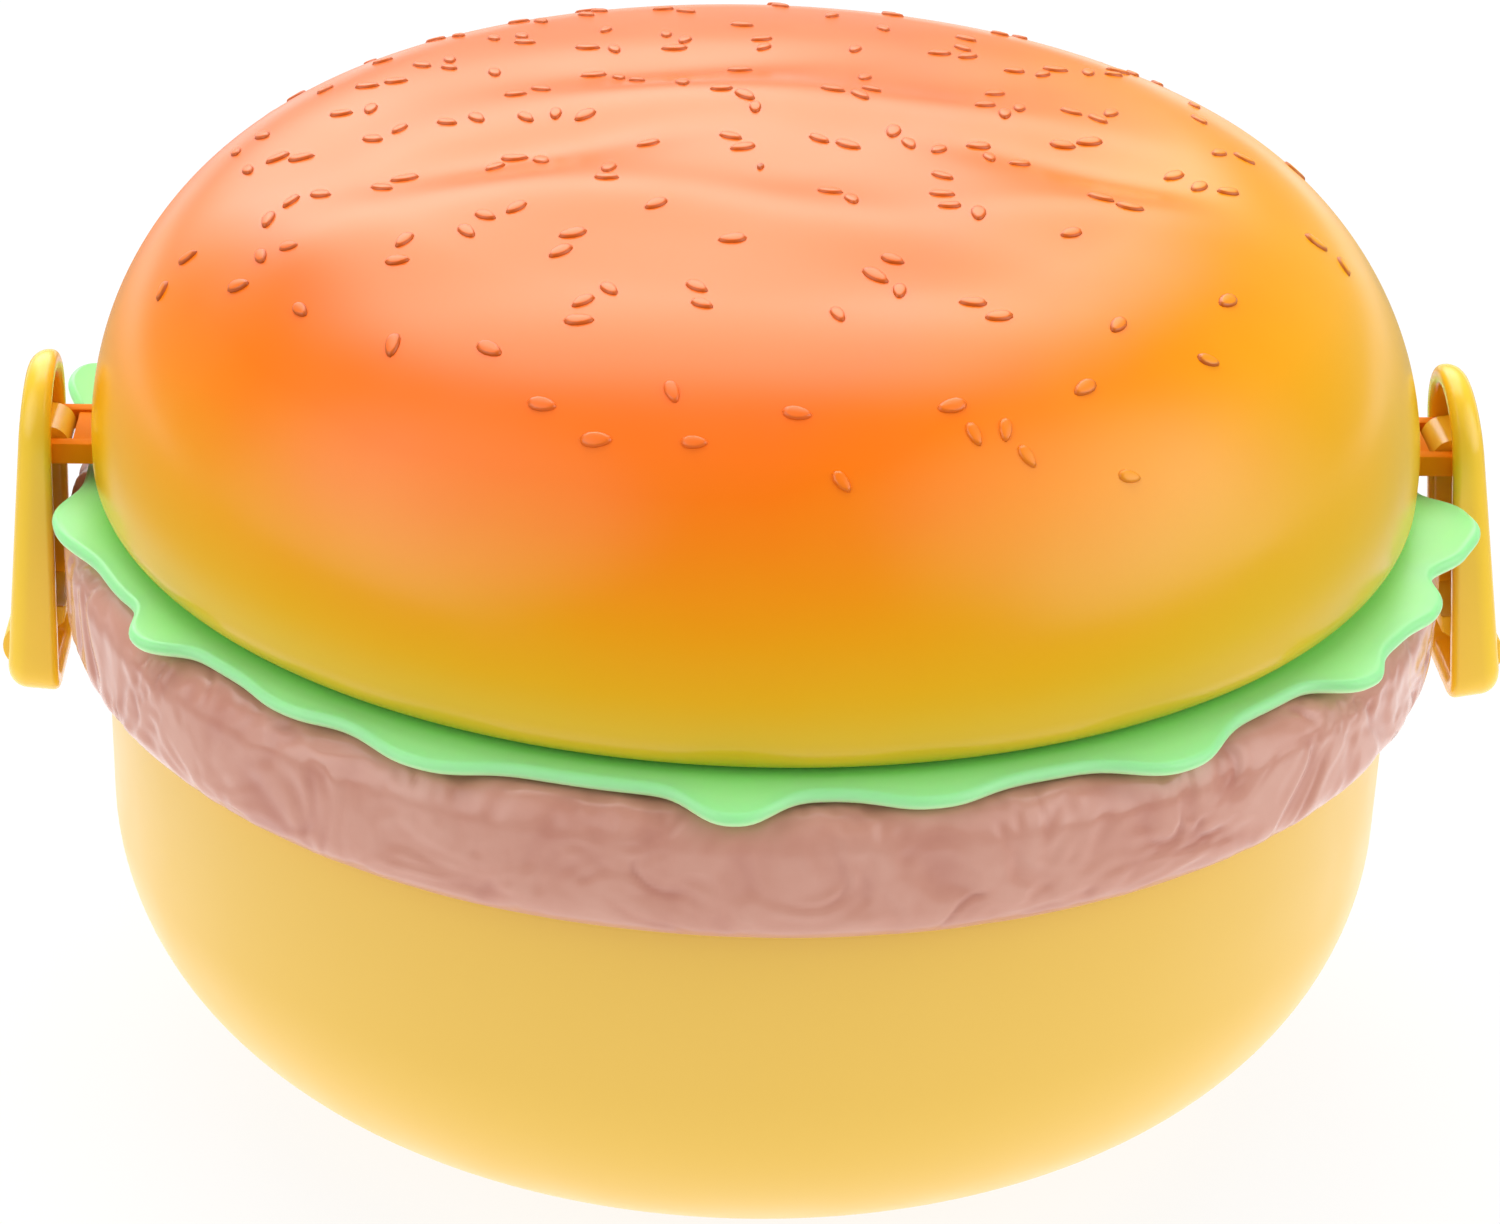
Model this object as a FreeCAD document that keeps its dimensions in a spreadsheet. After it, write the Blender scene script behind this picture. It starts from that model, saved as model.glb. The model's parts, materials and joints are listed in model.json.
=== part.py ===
import FreeCAD, Part
import math
import os
import Sketcher

# A round lunch box shaped like a hamburger, in millimetres.
# Z points up, and the origin is the middle of the bowl's flat foot.
# From the foot up: the lower bun is the bowl, the patty is a collar pressed on its neck,
# the lettuce is a tray that hangs in the bowl, and the upper bun is the lid with its seal.
# A hinged clip on each side of the lid, at -X and +X, hooks under the patty.

# Driving dimensions: name, value
DIMENSIONS = [
    # bowl
    ("bowl_radius", 70.3),
    ("bowl_wall", 2.4),
    ("bowl_foot_radius", 34.0),
    ("bowl_belly_radius", 53.0),
    ("bowl_corner_radius", 26.5),
    ("bowl_rim_height", 62.7),
    ("bowl_neck_step", 0.9),
    # patty collar
    ("patty_bulge", 4.1),
    ("patty_underside", 48.0),
    ("patty_edge_round", 4.0),
    ("patty_rim_gap", 0.4),
    ("collar_fit", 0.05),
    # lettuce tray
    ("brim_thickness", 1.5),
    ("brim_overhang", 0.1),
    ("leaf_reach", 1.7),
    ("leaf_thickness", 1.2),
    ("tray_cup_gap", 4.9),
    ("tray_wall", 1.6),
    ("tray_depth", 17.0),
    ("tray_floor_round", 5.0),
    ("tray_lip_height", 2.0),
    ("tray_skirt_depth", 4.0),
    ("tray_clearance", 0.4),
    # lid
    ("bun_overhang", 0.7),
    ("lid_wall", 2.2),
    ("lid_rim_round", 3.9),
    ("lid_side_height", 1.4),
    ("bun_shoulder_radius", 32.2),
    ("bun_crown_radius", 268.0),
    ("lid_clearance", 0.5),
    # seal
    ("seal_inset", 1.2),
    ("seal_width", 1.6),
    ("seal_groove_depth", 1.6),
    ("seal_proud", 0.3),
    # hinge brackets on the lid
    ("pivot_outset", 1.3),
    ("pivot_above_rim", 2.8),
    ("bracket_side_gap", 0.5),
    ("bracket_end_gap", 0.3),
    ("bracket_arm", 1.5),
    ("bracket_height", 2.4),
    ("bracket_root", 1.6),
    ("bracket_web_drop", 0.3),
    ("bar_radius", 0.9),
    # clips
    ("clip_width", 16.0),
    ("clip_top", 9.1),
    ("clip_chin", 3.5),
    ("left_clip_lean", 5.4),
    ("right_clip_lean", 10.2),
    ("clip_rim_top", 0.0),
    ("clip_rim_bottom", 2.8),
    ("clip_wall", 1.5),
    ("clip_side_wall", 2.2),
    ("clip_foot_round", 4.0),
    ("clip_edge_round", 2.2),
    ("knuckle_wall", 1.2),
    ("knuckle_side_gap", 0.6),
    ("hinge_clearance", 0.1),
    ("knuckle_gap", 0.4),
    ("snap_mouth", 1.44),
    ("nose_lift", 0.8),
    ("nose_height", 2.0),
    ("nose_foot", 6.5),
    ("nose_side_gap", 1.5),
    ("nose_clearance", 0.4),
    ("finger_ridge_radius", 3.0),
    ("finger_ridge_proud", 0.8),
    ("finger_ridge_inset", 3.0),
    ("finger_ridge_below_nose", 5.0),
    # how far a cutting outline passes beyond what it cuts
    ("cut_margin", 2.0),
]

# Leaf lobes of the lettuce: middle (degrees about Z), reach beyond the leaf radius and
# lift (mm), and half width (degrees). The clips stand in the two gaps, at 0 and 180 degrees.
LEAF_LOBES = [
    (-167, 3.6, 0.6, 5.0),
    (-156, 0.8, 0.0, 4.0),
    (-147, 3.4, -0.2, 3.4),
    (-131, 1.0, -0.2, 4.0),
    (-118, 1.8, -0.5, 5.0),
    (-94, 3.4, -0.8, 3.5),
    (-79, 1.7, -0.4, 4.5),
    (-59, 3.2, -0.6, 5.0),
    (-39, 3.8, -0.3, 3.2),
    (-33, 2.6, 0.0, 4.5),
    (-25, 4.2, 0.0, 4.5),
    (-15, 4.4, 0.6, 4.0),
    (-10, 1.8, 0.6, 3.4),
    (14, 4.2, 1.4, 5.0),
    (34, 3.2, 0.2, 6.0),
    (60, 2.8, -0.5, 5.0),
    (88, 3.3, -0.3, 4.0),
    (108, 2.4, -0.6, 5.0),
    (128, 3.0, -0.2, 5.0),
    (146, 2.8, 0.4, 6.0),
    (166, 3.8, 1.6, 5.0),
]
LEAF_POINTS = 144

doc = FreeCAD.newDocument("burger_lunch_box")
sheet = doc.addObject("Spreadsheet::Sheet", "dims")
for row, (alias, number) in enumerate(DIMENSIONS, start=1):
    sheet.set(f"A{row}", alias)
    sheet.set(f"B{row}", str(number))
    sheet.setAlias(f"B{row}", alias)
doc.recompute()


def value(expression):
    """The number that an expression of the sheet's aliases stands for."""
    return float(sheet.evalExpression(expression))


# Shared levels and radii, as expressions of the driving dimensions
BOWL_INNER = "(dims.bowl_radius - dims.bowl_wall)"
NECK = "(dims.bowl_radius - dims.bowl_neck_step)"
PATTY = "(dims.bowl_radius + dims.patty_bulge)"
BRIM = "(dims.bowl_radius + dims.brim_overhang)"
CUP = f"({BOWL_INNER} - dims.tray_cup_gap)"
BUN = "(dims.bowl_radius + dims.bun_overhang)"
BRIM_TOP = "(dims.bowl_rim_height + dims.brim_thickness)"
RIM = f"({BRIM_TOP} + dims.seal_proud)"
RIM_INNER = f"({CUP} + dims.lid_clearance)"
SIDE_FOOT = f"({RIM} + dims.lid_rim_round)"
SIDE_TOP = f"({SIDE_FOOT} + dims.lid_side_height)"
PIVOT = f"({RIM} + dims.pivot_above_rim)"
PIVOT_OUT = f"({PATTY} + dims.pivot_outset)"
BORE = "(dims.bar_radius + dims.hinge_clearance)"
KNUCKLE = f"({BORE} + dims.knuckle_wall)"
HOLLOW = "(dims.clip_width - 2 * dims.clip_side_wall)"
BRACKET = f"({HOLLOW} - 2 * dims.bracket_side_gap)"
FORK = f"({BRACKET} - 2 * dims.bracket_arm)"
HOLLOW_BACK = "(dims.bracket_height / 2 + dims.bracket_end_gap)"
CLIP_BACK = f"({HOLLOW_BACK} + dims.clip_wall)"
NOSE_TOP = f"({PIVOT} - dims.patty_underside - dims.nose_lift)"
NOSE_LEAN = "min(dims.left_clip_lean; dims.right_clip_lean)"
CLIP_BOTTOM = f"({NOSE_TOP} + dims.nose_foot + dims.clip_chin)"


class Outline:
    """A closed outline in a sketch. Every corner and radius is bound to the sheet."""

    def __init__(self, body, name, plane="XZ_Plane"):
        self.sketch = body.newObject("Sketcher::SketchObject", name)
        support = [item for item in body.Origin.OriginFeatures if item.Role == plane][0]
        self.sketch.AttachmentSupport = [(support, "")]
        self.sketch.MapMode = "FlatFace"
        self.steps = []

    def bind(self, kind, geometry, point, expression):
        """Fix one coordinate of a point, or the radius of an arc, to an expression."""
        place = (geometry, point) if point else (geometry,)
        number = self.sketch.addConstraint(Sketcher.Constraint(kind, *place, value(expression)))
        name = f"{kind.lower()}_{number}"
        self.sketch.renameConstraint(number, name)
        self.sketch.setExpression(f"Constraints.{name}", expression)

    def pin(self, geometry, point, corner):
        """Fix a point of the outline at a corner given as two expressions."""
        for kind, axis, expression in (("DistanceX", -2, corner[0]), ("DistanceY", -1, corner[1])):
            if expression == "0":
                self.sketch.addConstraint(Sketcher.Constraint("PointOnObject", geometry, point, axis))
            else:
                self.bind(kind, geometry, point, expression)

    def loop(self, start, *moves):
        """Draw a closed loop. A move is a corner for a straight edge, or a corner, a radius and
        a turn for an arc: +1 is counter-clockwise and -1 is clockwise."""
        first = last = None
        corner = start
        for move in moves:
            near = FreeCAD.Vector(value(corner[0]), value(corner[1]), 0)
            far = FreeCAD.Vector(value(move[0]), value(move[1]), 0)
            if len(move) == 2:
                geometry = self.sketch.addGeometry(Part.LineSegment(near, far), False)
                ends = (1, 2)
            else:
                geometry = self.sketch.addGeometry(arc_between(near, far, value(move[2]), move[3]), False)
                ends = (1, 2) if move[3] > 0 else (2, 1)
                self.bind("Radius", geometry, None, move[2])
            if last is not None:
                self.sketch.addConstraint(Sketcher.Constraint("Coincident", *last, geometry, ends[0]))
            first = first or (geometry, ends[0])
            last = (geometry, ends[1])
            self.pin(geometry, ends[1], move[:2])
            corner = move
        self.sketch.addConstraint(Sketcher.Constraint("Coincident", *last, *first))
        return self

    def circle(self, x, y, radius):
        """Draw a circle about a centre."""
        centre = FreeCAD.Vector(value(x), value(y), 0)
        shape = Part.Circle(centre, FreeCAD.Vector(0, 0, 1), value(radius))
        geometry = self.sketch.addGeometry(shape, False)
        self.bind("Radius", geometry, None, radius)
        self.pin(geometry, 3, (x, y))
        return self


def arc_between(near, far, radius, turn):
    """The shorter arc of a radius from one point to another, turning left (+1) or right (-1)."""
    chord = far - near
    half = chord.Length / 2
    side = FreeCAD.Vector(-chord.y, chord.x, 0).normalize() * turn
    centre = (near + far) / 2 + side * math.sqrt(max(radius ** 2 - half ** 2, 0))
    begin, end = (near, far) if turn > 0 else (far, near)
    angles = [math.atan2(point.y - centre.y, point.x - centre.x) for point in (begin, end)]
    if angles[1] <= angles[0]:
        angles[1] += 2 * math.pi
    return Part.ArcOfCircle(Part.Circle(centre, FreeCAD.Vector(0, 0, 1), radius), *angles)


def rectangle(left, low, right, high):
    """Corners of a rectangle, back to the first, for a loop."""
    return [(left, low), (right, low), (right, high), (left, high), (left, low)]


def new_body(name):
    """An empty body whose label names its file."""
    body = doc.addObject("PartDesign::Body", name)
    body.Label = name
    return body


def revolve(body, outline):
    """Turn an outline once round the Z axis."""
    turn = body.newObject("PartDesign::Revolution", outline.sketch.Name + "_turn")
    turn.Profile = outline.sketch
    turn.ReferenceAxis = (outline.sketch, ["V_Axis"])
    turn.Angle = 360


def pad(body, outline, length):
    """Add an outline, spread evenly to both sides of its plane."""
    feature = body.newObject("PartDesign::Pad", outline.sketch.Name + "_pad")
    feature.Profile = outline.sketch
    feature.SideType = "Symmetric"
    feature.setExpression("Length", length)


def pocket(body, outline, length, sides="Symmetric"):
    """Cut an outline, by default to both sides of its plane, and check that it cuts."""
    doc.recompute()
    before = body.Shape.Volume
    feature = body.newObject("PartDesign::Pocket", outline.sketch.Name + "_cut")
    feature.Profile = outline.sketch
    feature.SideType = sides
    feature.setExpression("Length", length)
    doc.recompute()
    if body.Shape.Volume >= before:
        raise RuntimeError(f"{feature.Name} cuts nothing")


def build_bowl():
    """Lower bun: a flat foot, a belly arc and a corner arc into a straight wall with a neck."""
    reach = "(dims.bowl_radius - dims.bowl_corner_radius - dims.bowl_foot_radius)"
    spread = "(dims.bowl_belly_radius - dims.bowl_corner_radius)"
    rise = f"sqrt({spread}^2 - {reach}^2)"
    wall_foot = f"dims.bowl_belly_radius - {rise}"

    def joint(depth):
        """Where the belly arc meets the corner arc, at a depth inside the outer face."""
        arm = f"(dims.bowl_belly_radius - {depth}) / {spread}"
        return f"dims.bowl_foot_radius + {reach} * {arm}", f"dims.bowl_belly_radius - {rise} * {arm}"

    body = new_body("bottom_bun_bowl")
    outline = Outline(body, "bowl_section").loop(
        ("0", "0"),
        ("dims.bowl_foot_radius", "0"),
        (*joint("0"), "dims.bowl_belly_radius", 1),
        ("dims.bowl_radius", wall_foot, "dims.bowl_corner_radius", 1),
        ("dims.bowl_radius", "dims.patty_underside"),
        (NECK, "dims.patty_underside"),
        (NECK, "dims.bowl_rim_height"),
        (BOWL_INNER, "dims.bowl_rim_height"),
        (BOWL_INNER, wall_foot),
        (*joint("dims.bowl_wall"), "dims.bowl_corner_radius - dims.bowl_wall", -1),
        ("dims.bowl_foot_radius", "dims.bowl_wall", "dims.bowl_belly_radius - dims.bowl_wall", -1),
        ("0", "dims.bowl_wall"),
        ("0", "0"),
    )
    revolve(body, outline)
    return body


def build_patty():
    """Patty: a fat ring on the bowl's neck, seated on the step under it."""
    inner = f"{NECK} + dims.collar_fit"
    shoulder = f"{PATTY} - dims.patty_edge_round"
    top = "dims.bowl_rim_height - dims.patty_rim_gap"
    body = new_body("patty_collar")
    outline = Outline(body, "patty_section").loop(
        (inner, "dims.patty_underside"),
        (shoulder, "dims.patty_underside"),
        (PATTY, "dims.patty_underside + dims.patty_edge_round", "dims.patty_edge_round", 1),
        (PATTY, f"{top} - dims.patty_edge_round"),
        (shoulder, top, "dims.patty_edge_round", 1),
        (inner, top),
        (inner, "dims.patty_underside"),
    )
    revolve(body, outline)
    return body


def leaf_edge(angle):
    """Radius and lift of the lettuce edge: the leaf radius plus one bell curve for each lobe."""
    radius = value("dims.bowl_radius + dims.leaf_reach")
    lift = 0.0
    for middle, reach, rise, half_width in LEAF_LOBES:
        away = (math.degrees(angle) - middle + 180) % 360 - 180
        bell = math.exp(-(away / half_width) ** 2)
        radius += reach * bell
        lift += rise * bell
    return radius, lift


def build_leaf():
    """Wavy lettuce leaf: a ruled sheet from the brim's edge to the lobed edge, given its thickness."""
    base = value("dims.bowl_rim_height + (dims.brim_thickness - dims.leaf_thickness) / 2")
    ring = Part.Circle(FreeCAD.Vector(0, 0, base), FreeCAD.Vector(0, 0, 1), value(BRIM))
    angles = [2 * math.pi * step / LEAF_POINTS for step in range(LEAF_POINTS)]
    points = []
    for angle in angles:
        radius, lift = leaf_edge(angle)
        points.append(FreeCAD.Vector(radius * math.cos(angle), radius * math.sin(angle), base + lift))
    edge = Part.BSplineCurve()
    edge.interpolate(Points=points, PeriodicFlag=True, Parameters=angles + [2 * math.pi])
    sheet_face = Part.makeRuledSurface(ring.toShape(), edge.toShape())
    leaf = doc.addObject("Part::Feature", "lettuce_leaf")
    leaf.Shape = sheet_face.extrude(FreeCAD.Vector(0, 0, value("dims.leaf_thickness")))
    return leaf


def build_tray():
    """Lettuce tray: a cup that hangs in the bowl by its brim, with a lip, a skirt and the leaf."""
    cup_inner = f"{CUP} - dims.tray_wall"
    skirt = f"{BOWL_INNER} - dims.tray_clearance"
    floor = f"{BRIM_TOP} - dims.tray_depth"
    lip = f"{BRIM_TOP} + dims.tray_lip_height"
    skirt_foot = "dims.bowl_rim_height - dims.tray_skirt_depth"
    inner_round = "dims.tray_floor_round - dims.tray_wall"
    turn = f"{CUP} - dims.tray_floor_round"
    body = new_body("tray_cup")
    outline = Outline(body, "tray_section").loop(
        ("0", f"{floor} - dims.tray_wall"),
        (turn, f"{floor} - dims.tray_wall"),
        (CUP, f"{floor} + {inner_round}", "dims.tray_floor_round", 1),
        (CUP, "dims.bowl_rim_height"),
        (f"{skirt} - dims.tray_wall", "dims.bowl_rim_height"),
        (f"{skirt} - dims.tray_wall", skirt_foot),
        (skirt, skirt_foot),
        (skirt, "dims.bowl_rim_height"),
        (BRIM, "dims.bowl_rim_height"),
        (BRIM, BRIM_TOP),
        (CUP, BRIM_TOP),
        (CUP, lip),
        (cup_inner, lip),
        (cup_inner, f"{floor} + {inner_round}"),
        (turn, floor, inner_round, -1),
        ("0", floor),
        ("0", f"{floor} - dims.tray_wall"),
    )
    revolve(body, outline)
    tray = doc.addObject("Part::Fuse", "lettuce_tray")
    tray.Label = "lettuce_tray"
    tray.Base = body
    tray.Tool = build_leaf()
    return tray


def dome(depth):
    """Corners of the upper bun's dome at a depth inside its outer face: where the crown arc meets
    the shoulder arc, and the top. Both arcs keep their centres at every depth."""
    spread = "(dims.bun_crown_radius - dims.bun_shoulder_radius)"
    reach = f"({BUN} - dims.bun_shoulder_radius)"
    rise = f"sqrt({spread}^2 - {reach}^2)"
    arm = f"(dims.bun_crown_radius - {depth}) / {spread}"
    centre = f"({SIDE_TOP} - {rise})"
    meeting = (f"{reach} * {arm}", f"{centre} + {rise} * {arm}")
    return meeting, f"{centre} + dims.bun_crown_radius - {depth}"


def add_brackets(body):
    """Two forked brackets on the lid, each with a bar between its arms for the clip."""
    root = f"({BUN} - dims.bracket_root)"
    half = "(dims.bracket_height / 2)"
    web = f"({PIVOT_OUT} - {KNUCKLE} - dims.knuckle_gap)"
    beyond = f"({PIVOT_OUT} + dims.bracket_height)"
    low, high = f"{PIVOT} - {half}", f"{PIVOT} + {half}"

    arms = Outline(body, "bracket_arms")
    forks = Outline(body, "bracket_fork")
    webs = Outline(body, "bracket_web")
    bars = Outline(body, "hinge_bars")
    for side, turn in (("", 1), ("-", -1)):
        tip = (f"{side}{PIVOT_OUT}", high)
        far = f"{side}({PIVOT_OUT} + {half})"
        arms.loop(
            (f"{side}{root}", low),
            (f"{side}{PIVOT_OUT}", low),
            (far, PIVOT, half, turn),
            (*tip, half, turn),
            (f"{side}{root}", high),
            (f"{side}{root}", low),
        )
        forks.loop(*rectangle(f"{side}{web}", low, f"{side}{beyond}", high))
        webs.loop(*rectangle(f"{side}{BUN}", f"{high} - dims.bracket_web_drop", f"{side}{web}", high))
        bars.circle(f"{side}{PIVOT_OUT}", PIVOT, "dims.bar_radius")
    pad(body, arms, BRACKET)
    pocket(body, forks, FORK)
    pocket(body, webs, FORK)
    pad(body, bars, f"{FORK} + dims.bracket_arm")


def build_lid():
    """Upper bun: a thin dome on a thick rim with a groove for the seal, and the two brackets."""
    meeting, top = dome("0")
    inner_meeting, inner_top = dome("dims.lid_wall")
    inner_side = f"{BUN} - dims.lid_wall"
    rim_edge = f"{BUN} - dims.lid_rim_round"
    groove = f"{RIM_INNER} + dims.seal_inset"
    groove_top = f"{RIM} + dims.seal_groove_depth"
    body = new_body("top_bun_lid")
    outline = Outline(body, "lid_section").loop(
        ("0", top),
        ("0", inner_top),
        (*inner_meeting, "dims.bun_crown_radius - dims.lid_wall", -1),
        (inner_side, SIDE_TOP, "dims.bun_shoulder_radius - dims.lid_wall", -1),
        (inner_side, SIDE_FOOT),
        (RIM_INNER, SIDE_FOOT),
        (RIM_INNER, RIM),
        (groove, RIM),
        (groove, groove_top),
        (f"{groove} + dims.seal_width", groove_top),
        (f"{groove} + dims.seal_width", RIM),
        (rim_edge, RIM),
        (BUN, SIDE_FOOT, "dims.lid_rim_round", 1),
        (BUN, SIDE_TOP),
        (*meeting, "dims.bun_shoulder_radius", 1),
        ("0", top, "dims.bun_crown_radius", 1),
    )
    revolve(body, outline)
    add_brackets(body)
    return body


def build_seal():
    """Soft ring that fills the lid's groove and stands a little proud of it."""
    inner = f"{RIM_INNER} + dims.seal_inset"
    outer = f"{inner} + dims.seal_width"
    top = f"{RIM} + dims.seal_groove_depth"
    body = new_body("seal_ring")
    outline = Outline(body, "seal_section").loop(
        (inner, BRIM_TOP), (outer, BRIM_TOP), (outer, top), (inner, top), (inner, BRIM_TOP)
    )
    revolve(body, outline)
    return body


def round_back_edges(body):
    """Round the edges of the clip's outer face."""
    doc.recompute()
    solid = body.Tip
    back = max(solid.Shape.Faces, key=lambda face: face.CenterOfMass.x)
    edges = [
        f"Edge{number}"
        for number, edge in enumerate(solid.Shape.Edges, start=1)
        if any(edge.isSame(other) for other in back.Edges)
    ]
    fillet = body.newObject("PartDesign::Fillet", body.Name + "_round")
    fillet.Base = (solid, edges)
    fillet.setExpression("Radius", "dims.clip_edge_round")


def stadium(inset):
    """Moves round the clip's front outline, inset by a wall: arched top and rounded foot."""
    half = f"(dims.clip_width / 2 - {inset})"
    arch = "(dims.clip_top - dims.clip_width / 2)"
    foot = f"(-{CLIP_BOTTOM} + {inset})"
    corner = f"(dims.clip_foot_round - {inset})"
    return [
        (f"-{half} + {corner}", foot),
        (f"{half} - {corner}", foot),
        (half, f"{foot} + {corner}", corner, 1),
        (half, arch),
        ("0", f"{arch} + {half}", half, 1),
        (f"-{half}", arch, half, 1),
        (f"-{half}", f"{foot} + {corner}"),
        (f"-{half} + {corner}", foot, corner, 1),
    ]


def build_clip(name, lean, half_turn):
    """Side clip, drawn upright about its hinge axis with +X outwards: a hollow lever with a
    knuckle that snaps over the lid's bar, a nose that hooks under the patty and a finger ridge."""
    buried = f"({CLIP_BACK} - dims.clip_wall / 2)"
    through = f"2 * ({CLIP_BACK} + dims.clip_rim_bottom + dims.cut_margin)"
    body = new_body(name)

    side = Outline(body, name + "_side").loop(
        ("-dims.clip_rim_bottom", f"-{CLIP_BOTTOM}"),
        (CLIP_BACK, f"-{CLIP_BOTTOM}"),
        (CLIP_BACK, "dims.clip_top"),
        ("-dims.clip_rim_top", "dims.clip_top"),
        ("-dims.clip_rim_bottom", f"-{CLIP_BOTTOM}"),
    )
    pad(body, side, "dims.clip_width")
    beside = "(dims.clip_width / 2 + dims.cut_margin)"
    below = f"(-{CLIP_BOTTOM} - dims.cut_margin)"
    above = "(dims.clip_top + dims.cut_margin)"
    front = Outline(body, name + "_front", "YZ_Plane")
    front.loop(*rectangle(f"-{beside}", below, beside, above))
    front.loop(*stadium("0"))
    pocket(body, front, through)
    round_back_edges(body)

    hollow = Outline(body, name + "_hollow", "YZ_Plane").loop(*stadium("dims.clip_side_wall"))
    hollow.sketch.setExpression("AttachmentOffset.Base.z", HOLLOW_BACK)
    pocket(body, hollow, through, "One side")

    knuckle = Outline(body, name + "_knuckle").loop(
        (buried, KNUCKLE),
        ("0", KNUCKLE),
        (f"-{KNUCKLE}", "0", KNUCKLE, 1),
        ("0", f"-{KNUCKLE}", KNUCKLE, 1),
        (buried, f"-{KNUCKLE}"),
        (buried, KNUCKLE),
    )
    width = f"({FORK} - 2 * dims.knuckle_side_gap)"
    pad(body, knuckle, width)
    across = f"{width} + dims.cut_margin"
    bore = Outline(body, name + "_bore").circle("0", "0", BORE)
    pocket(body, bore, across)
    mouth = "(dims.snap_mouth / 2)"
    mouth_foot = f"(-{KNUCKLE} - dims.cut_margin)"
    slot = Outline(body, name + "_slot").loop(*rectangle(f"-{mouth}", mouth_foot, mouth, "0"))
    pocket(body, slot, across)

    clear = f"({PIVOT_OUT} - {PATTY} - dims.nose_clearance)"
    tip = f"-({clear} + {NOSE_TOP} * sin({NOSE_LEAN})) / cos({NOSE_LEAN})"
    nose = Outline(body, name + "_nose").loop(
        (buried, f"-{NOSE_TOP}"),
        (tip, f"-{NOSE_TOP}"),
        (tip, f"-{NOSE_TOP} - dims.nose_height"),
        (buried, f"-{NOSE_TOP} - dims.nose_foot"),
        (buried, f"-{NOSE_TOP}"),
    )
    pad(body, nose, f"{HOLLOW} - 2 * dims.nose_side_gap")

    depth = "(dims.finger_ridge_proud + dims.clip_wall / 2)"
    half = f"sqrt(dims.finger_ridge_radius^2 - (dims.finger_ridge_radius - {depth})^2)"
    drop = f"({NOSE_TOP} + dims.finger_ridge_below_nose)"
    ridge = Outline(body, name + "_ridge").loop(
        (buried, f"-{drop} - {half}"),
        (buried, f"-{drop} + {half}", "dims.finger_ridge_radius", 1),
        (buried, f"-{drop} - {half}"),
    )
    pad(body, ridge, "dims.clip_width - 2 * dims.finger_ridge_inset")

    spot = f"placement(vector({PIVOT_OUT}; 0; {PIVOT}); rotation(vector(0; 1; 0); -{lean}))"
    if half_turn:
        spot = f"placement(vector(0; 0; 0); rotation(vector(0; 0; 1); 180)) * {spot}"
    body.setExpression("Placement", spot)
    return body


def finish(parts):
    """Check every object and every part's shape, then write one file for each part."""
    doc.recompute()
    for item in doc.Objects:
        if "Invalid" in item.State or "Error" in item.State:
            raise RuntimeError(f"{item.Name} failed: {item.State}")
    os.makedirs("parts", exist_ok=True)
    for part in parts:
        shape = part.Shape
        if shape.isNull() or not shape.isValid() or not shape.Solids:
            raise RuntimeError(f"{part.Label} has no valid solid")
        shape.exportStep(f"parts/{part.Label}.step")
        print(f"{part.Label}: {shape.Volume / 1000:.1f} cm3, {shape.BoundBox}")


parts = [build_bowl(), build_patty(), build_tray(), build_lid(), build_seal()]
parts.append(build_clip("left_clip", "dims.left_clip_lean", True))
parts.append(build_clip("right_clip", "dims.right_clip_lean", False))
finish(parts)
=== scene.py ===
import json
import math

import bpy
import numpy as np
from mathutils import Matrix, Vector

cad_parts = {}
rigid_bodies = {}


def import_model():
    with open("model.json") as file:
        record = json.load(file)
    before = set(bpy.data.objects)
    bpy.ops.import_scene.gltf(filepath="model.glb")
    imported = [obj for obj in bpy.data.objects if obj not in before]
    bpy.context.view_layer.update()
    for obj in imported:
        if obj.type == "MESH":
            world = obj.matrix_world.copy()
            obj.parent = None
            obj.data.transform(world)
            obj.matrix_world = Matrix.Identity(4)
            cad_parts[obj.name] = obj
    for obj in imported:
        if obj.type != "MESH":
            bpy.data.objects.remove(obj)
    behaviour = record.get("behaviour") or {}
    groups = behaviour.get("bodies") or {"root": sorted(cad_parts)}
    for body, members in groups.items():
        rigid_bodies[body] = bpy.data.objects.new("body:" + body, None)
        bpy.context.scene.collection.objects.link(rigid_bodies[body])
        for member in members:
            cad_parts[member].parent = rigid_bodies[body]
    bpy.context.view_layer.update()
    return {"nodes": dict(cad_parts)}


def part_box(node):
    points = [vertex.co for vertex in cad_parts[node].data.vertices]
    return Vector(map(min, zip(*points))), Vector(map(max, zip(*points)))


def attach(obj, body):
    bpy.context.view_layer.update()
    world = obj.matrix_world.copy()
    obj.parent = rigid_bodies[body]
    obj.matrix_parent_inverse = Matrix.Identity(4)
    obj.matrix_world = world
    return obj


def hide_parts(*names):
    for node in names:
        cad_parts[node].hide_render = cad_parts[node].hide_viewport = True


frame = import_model()

# %% [markdown]
# # A lunch box that looks like a hamburger
# The real box is a stack of plastic mouldings: a bowl for the lower bun, a ring for the patty, a tray
# whose brim is the lettuce, and a domed lid for the upper bun, held by a clip at each side.
# The CAD model gives the sizes and the joints. Here each moulding gets its visible surface: dents and
# sesame seeds on the bun, wrinkles on the patty, a soft thick edge on the leaf.
# Every shape is a formula on a grid of two parameters, so one helper can turn any of them into a mesh.

MM = 0.001
for leftover in [item for item in bpy.data.objects if item.name in ("Cube", "Light", "Camera")]:
    bpy.data.objects.remove(leftover)


def node_box(node):
    """Lowest and highest corner of a CAD node, in millimetres."""
    low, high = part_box(node)
    return np.array(low) / MM, np.array(high) / MM


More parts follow.
